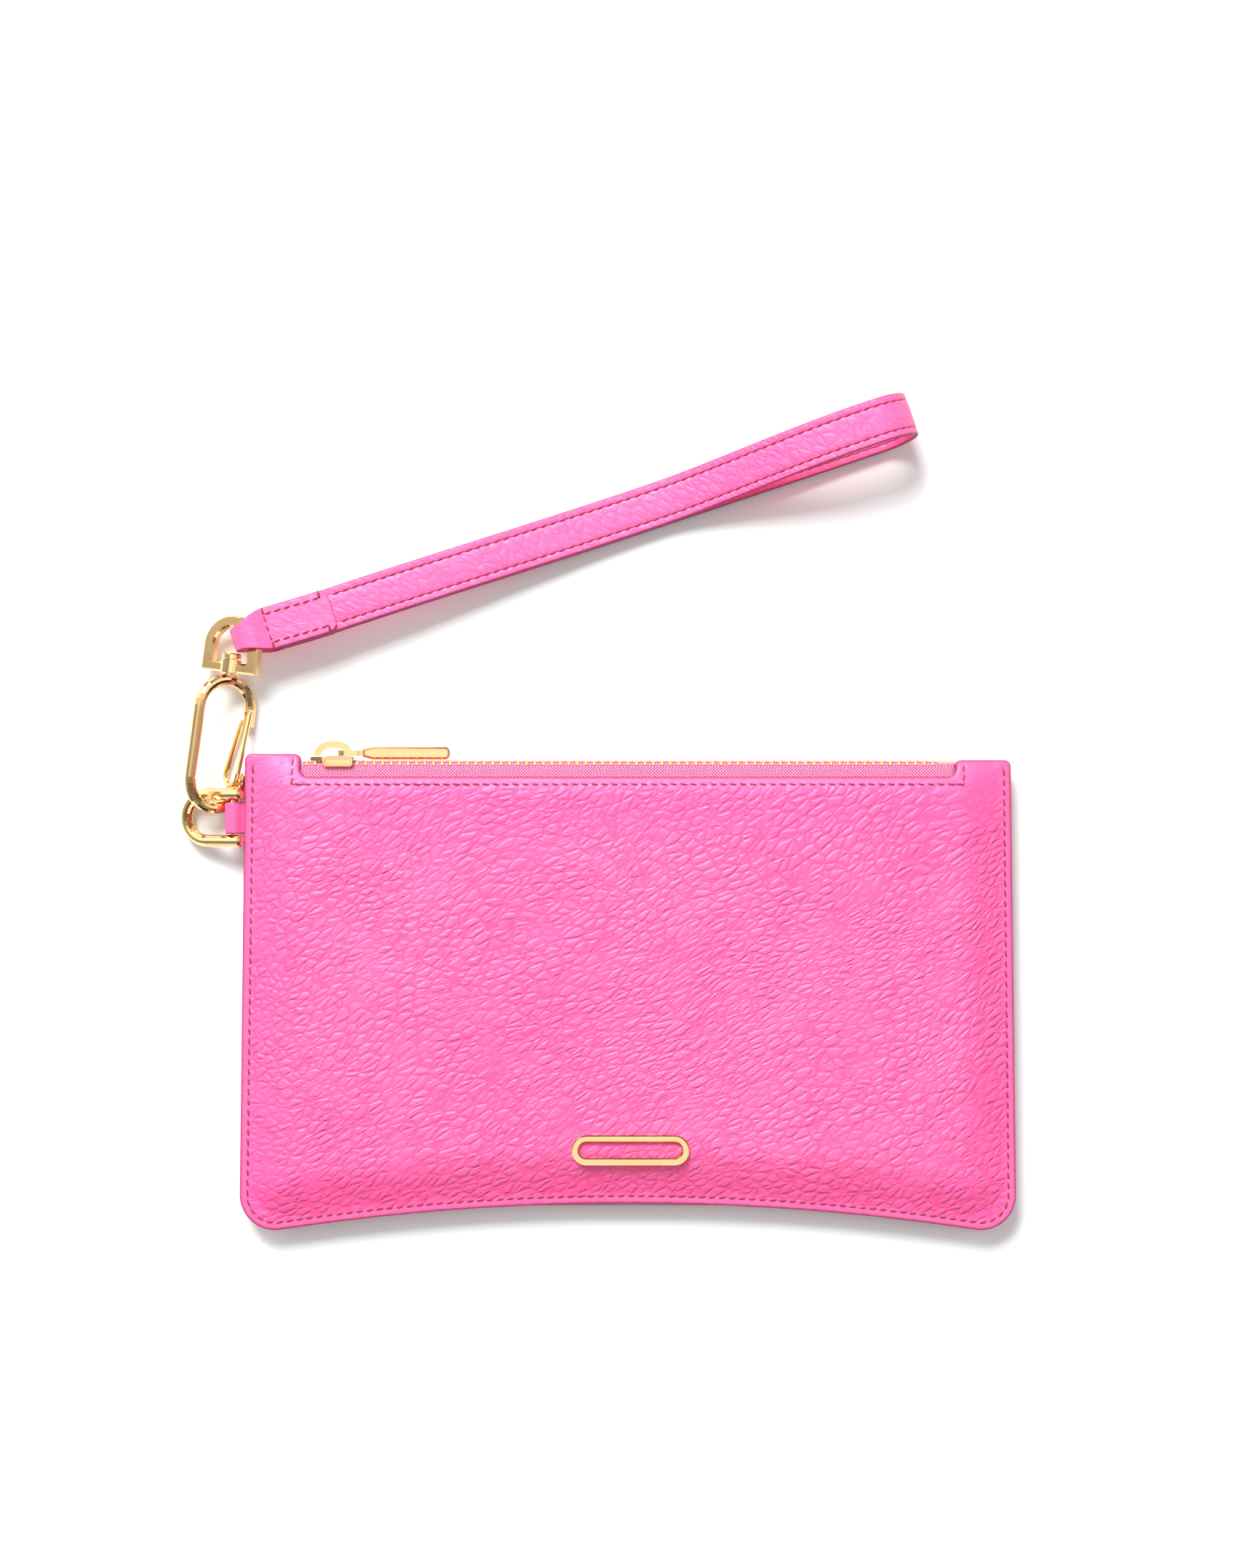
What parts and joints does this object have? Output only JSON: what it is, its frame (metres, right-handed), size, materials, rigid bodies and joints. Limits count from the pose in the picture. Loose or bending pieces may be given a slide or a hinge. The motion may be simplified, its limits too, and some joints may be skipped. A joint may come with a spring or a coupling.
{
  "type": "wristlet wallet",
  "caption": "Flat zip-top leather wristlet pouch with a side ring, an oval swivel snap clip and a folded leather wrist strap.",
  "frame": {"origin": "centre of the back panel's flat resting face", "axes": "+X along the pouch's long side towards the zip's closed stop end, +Y towards the zip, +Z out of the front panel"},
  "size_m": [0.2281, 0.2279, 0.0203],
  "materials": {
    "front_leather": "pebbled",
    "back_leather": "pebbled",
    "strap_leather": "pebbled",
    "lining_cloth": "woven",
    "zip_tape": "woven",
    "zip_metal": "polished",
    "hardware_gold": "polished"
  },
  "bodies": {
    "pouch": {"front_panel": "front_leather", "back_panel": "back_leather", "lining_front": "lining_cloth", "lining_back": "lining_cloth", "zip_tape_front": "zip_tape", "zip_tape_back": "zip_tape", "zip_teeth_front": "zip_metal", "zip_teeth_back": "zip_metal", "zip_bottom_stop": "zip_metal", "side_tab": "strap_leather", "ornament_ring": "hardware_gold", "ornament_washer_left": "hardware_gold", "ornament_washer_right": "hardware_gold"},
    "slider": {"slider_body": "zip_metal", "slider_bridge": "zip_metal"},
    "puller": {"zip_puller": "zip_metal"},
    "ring": {"d_ring": "hardware_gold", "d_ring_pin": "hardware_gold"},
    "clip": {"clip_frame": "hardware_gold", "swivel_cap": "hardware_gold"},
    "gate": {"clip_gate": "hardware_gold"},
    "head": {"swivel_head": "hardware_gold"},
    "strap": {"strap_tab": "strap_leather", "strap_inner_ply": "strap_leather", "strap_outer_ply": "strap_leather"}
  },
  "joints": [
    {"name": "zip_slide", "type": "slide", "parent": "pouch", "child": "slider", "axis": [1, 0, 0], "range_m": [0, 0.159]},
    {"name": "puller_flip", "type": "hinge", "parent": "slider", "child": "puller", "pos_m": [-0.07925, 0.06478, 0.0055], "axis": [0, 0, 1], "range_deg": [0, 105]},
    {"name": "ring_swing", "type": "hinge", "parent": "pouch", "child": "ring", "pos_m": [-0.1074, 0.04775, 0.0074], "axis": [0, 1, 0], "range_deg": [-4, 110]},
    {"name": "clip_swing", "type": "hinge", "parent": "ring", "child": "clip", "pos_m": [-0.1074, 0.0541, 0.0074], "axis": [0.9219, 0, 0.3875], "range_deg": [-4, 40]},
    {"name": "gate_open", "type": "hinge", "parent": "clip", "child": "gate", "pos_m": [-0.10425, 0.07618, 0.00264], "axis": [-0.5826, 0.0777, -0.809], "range_deg": [0, 28], "stiffness_Nm_per_rad": 0.02},
    {"name": "head_swivel", "type": "hinge", "parent": "clip", "child": "head", "pos_m": [-0.111, 0.0678, 0.0067], "axis": [0.1323, 0.9912, 0], "continuous": true},
    {"name": "strap_swing", "type": "hinge", "parent": "head", "child": "strap", "pos_m": [-0.10167, 0.09746, 0.00892], "axis": [-0.3182, 0.9455, -0.0698], "range_deg": [-60, 10]}
  ]
}
